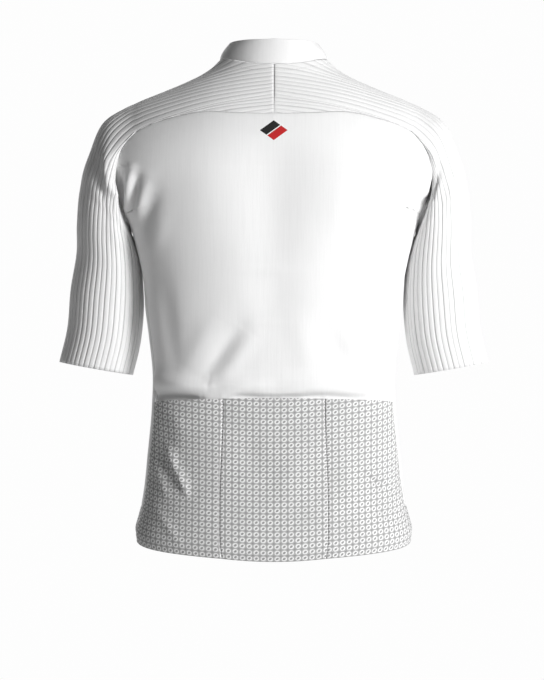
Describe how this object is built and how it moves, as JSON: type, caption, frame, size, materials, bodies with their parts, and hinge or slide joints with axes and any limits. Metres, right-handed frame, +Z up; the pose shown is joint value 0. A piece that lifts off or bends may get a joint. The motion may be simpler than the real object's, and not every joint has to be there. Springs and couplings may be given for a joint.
{
  "type": "cycling jersey",
  "caption": "Short-sleeved close-fitting cycling jersey with ribbed saddle sleeves, stand collar, full front zip, drop-tail hem and open rear pockets, held in its worn shape.",
  "frame": {"origin": "middle of the neck opening, level with the side neck points, where a wearer or a hanging form holds the jersey up", "axes": "+Z up, the back panel faces +Y and the chest -Y, the wearer's left sleeve is at +X"},
  "size_m": [0.5906, 0.2447, 0.6981],
  "materials": {
    "cloth": "matt white fine knit",
    "ribbed_cloth": "matt white ribbed knit",
    "mesh_cloth": "matt grey knit with a white ring repeat",
    "zip_tape": "matt white woven tape",
    "metal": "satin"
  },
  "bodies": {
    "jersey": {"back_panel": "cloth", "front_left": "cloth", "front_right": "cloth", "sleeve_left": "ribbed_cloth", "sleeve_right": "ribbed_cloth", "collar": "cloth", "pocket_left": "mesh_cloth", "pocket_center": "mesh_cloth", "pocket_right": "mesh_cloth", "hem_band_left": "mesh_cloth", "hem_band_right": "mesh_cloth", "zip_tape_left": "zip_tape", "zip_tape_right": "zip_tape", "zip_slider": "metal"},
    "pull": {"zip_pull": "metal"}
  },
  "joints": [
    {"name": "pull_hinge", "type": "hinge", "parent": "jersey", "child": "pull", "pos_m": [0, -0.07244, -0.0238], "axis": [-1, 0, 0], "range_deg": [0, 150]}
  ]
}
